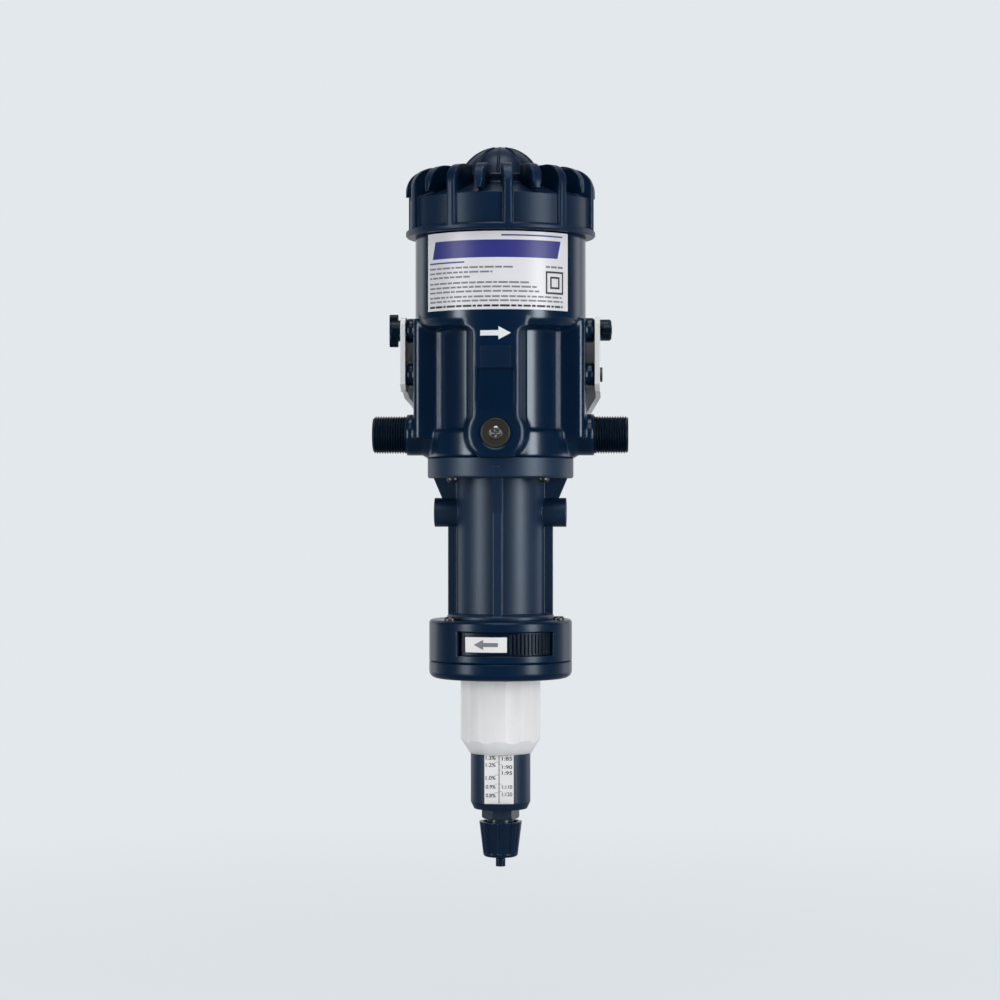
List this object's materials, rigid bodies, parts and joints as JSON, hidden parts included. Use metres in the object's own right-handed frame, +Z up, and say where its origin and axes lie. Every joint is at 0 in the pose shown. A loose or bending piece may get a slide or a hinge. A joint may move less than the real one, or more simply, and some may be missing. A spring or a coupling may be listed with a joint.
{
  "type": "dosing pump",
  "caption": "Water-driven dosing pump with a ribbed motor cover, side ports, wall bracket, adjusting nut and suction valve.",
  "frame": {"origin": "on the pump axis at the lower end of the hose barb", "axes": "+Z up along the pump axis, -Y towards the front with the scale and the window, +X towards the outlet"},
  "size_m": [0.1796, 0.1396, 0.5054],
  "materials": {
    "navy_plastic": "satin injection-moulded plastic",
    "grained_plastic": "matt grained plastic",
    "dark_plastic": "dark moulded plastic",
    "white_plastic": "white moulded plastic",
    "piston_plastic": "filled engineering plastic",
    "sheet_steel": "brushed stainless sheet",
    "screw_steel": "polished stainless steel",
    "plug_plastic": "olive-grey plastic",
    "rubber": "black rubber"
  },
  "bodies": {
    "pump_body": {"motor_body": "navy_plastic", "motor_cover": "navy_plastic", "vent_screw": "dark_plastic", "cover_seal": "rubber", "cylinder_liner": "sheet_steel", "inlet_nipple": "dark_plastic", "outlet_nipple": "dark_plastic", "front_plug": "plug_plastic", "plug_screw": "screw_steel", "wall_bracket": "sheet_steel", "bracket_screw": "screw_steel", "injector_body": "grained_plastic", "flange_seal": "rubber", "flange_screws": "screw_steel", "adjuster_housing": "navy_plastic", "housing_cover": "navy_plastic", "housing_screws": "screw_steel", "lock_spring": "screw_steel"},
    "wing_left": {"wing_screw_left": "dark_plastic"},
    "wing_right": {"wing_screw_right": "dark_plastic"},
    "lock": {"lock_slider": "dark_plastic", "lock_plate": "white_plastic"},
    "nut": {"adjusting_nut": "white_plastic"},
    "sleeve": {"dosing_sleeve": "dark_plastic", "scale_strip": "white_plastic", "sleeve_seal": "rubber", "valve_seat": "dark_plastic", "valve_oring": "rubber", "valve_cage": "dark_plastic", "suction_spring": "screw_steel", "hose_barb": "dark_plastic"},
    "hose_nut": {"hose_nut": "dark_plastic"},
    "poppet": {"suction_poppet": "white_plastic"},
    "piston": {"motor_piston": "piston_plastic", "deck_seal": "rubber", "skirt_seal": "rubber", "plunger": "screw_steel", "plunger_seal": "rubber", "toggle_pins": "screw_steel"},
    "valve": {"valve_plate": "piston_plastic", "valve_pads": "rubber"},
    "trip": {"trip_rod": "screw_steel"},
    "toggle_left": {"toggle_left": "screw_steel"},
    "toggle_right": {"toggle_right": "screw_steel"}
  },
  "joints": [
    {"name": "wing_left_turn", "type": "hinge", "parent": "pump_body", "child": "wing_left", "pos_m": [-0.07, 0, 0.377], "axis": [-1, 0, 0], "continuous": true},
    {"name": "wing_right_turn", "type": "hinge", "parent": "pump_body", "child": "wing_right", "pos_m": [0.07, 0, 0.377], "axis": [1, 0, 0], "continuous": true},
    {"name": "lock_slide", "type": "hinge", "parent": "pump_body", "child": "lock", "pos_m": [0, 0, 0.158], "axis": [0, 0, -1], "range_deg": [0, 5], "stiffness_Nm_per_rad": 2, "springref_deg": -2.29, "deforming": ["lock_spring"]},
    {"name": "adjust_turn", "type": "hinge", "parent": "pump_body", "child": "nut", "pos_m": [0, 0, 0.133], "axis": [0, 0, 1], "range_deg": [-360, 1800]},
    {"name": "sleeve_slide", "type": "slide", "parent": "pump_body", "child": "sleeve", "axis": [0, 0, 1], "range_m": [-0.0061, 0.0301]},
    {"name": "hose_nut_turn", "type": "hinge", "parent": "sleeve", "child": "hose_nut", "pos_m": [0, 0, 0.02], "axis": [0, 0, 1], "continuous": true},
    {"name": "suction_valve_lift", "type": "slide", "parent": "sleeve", "child": "poppet", "axis": [0, 0, 1], "range_m": [0, 0.0025], "stiffness_N_per_m": 60, "springref_m": -0.004, "deforming": ["suction_spring"]},
    {"name": "piston_stroke", "type": "slide", "parent": "pump_body", "child": "piston", "axis": [0, 0, 1], "range_m": [0, 0.04]},
    {"name": "valve_shift", "type": "slide", "parent": "piston", "child": "valve", "axis": [0, 0, 1], "range_m": [0, 0.004]},
    {"name": "trip_shift", "type": "slide", "parent": "piston", "child": "trip", "axis": [0, 0, 1], "range_m": [-0.0041, 0]},
    {"name": "toggle_left_turn", "type": "hinge", "parent": "piston", "child": "toggle_left", "pos_m": [-0.015, 0, 0.4288], "axis": [0, 1, 0], "range_deg": [0, 24.2]},
    {"name": "toggle_right_turn", "type": "hinge", "parent": "piston", "child": "toggle_right", "pos_m": [0.015, 0, 0.4288], "axis": [0, -1, 0], "range_deg": [0, 24.2]}
  ],
  "couplings": [
    {"joint": "sleeve_slide", "follows": "adjust_turn", "m_per_rad": 0.00095493},
    {"joint": "trip_shift", "follows": "valve_shift", "ratio": -1},
    {"joint": "toggle_left_turn", "follows": "valve_shift", "rad_per_m": 105.26},
    {"joint": "toggle_right_turn", "follows": "valve_shift", "rad_per_m": 105.26}
  ]
}
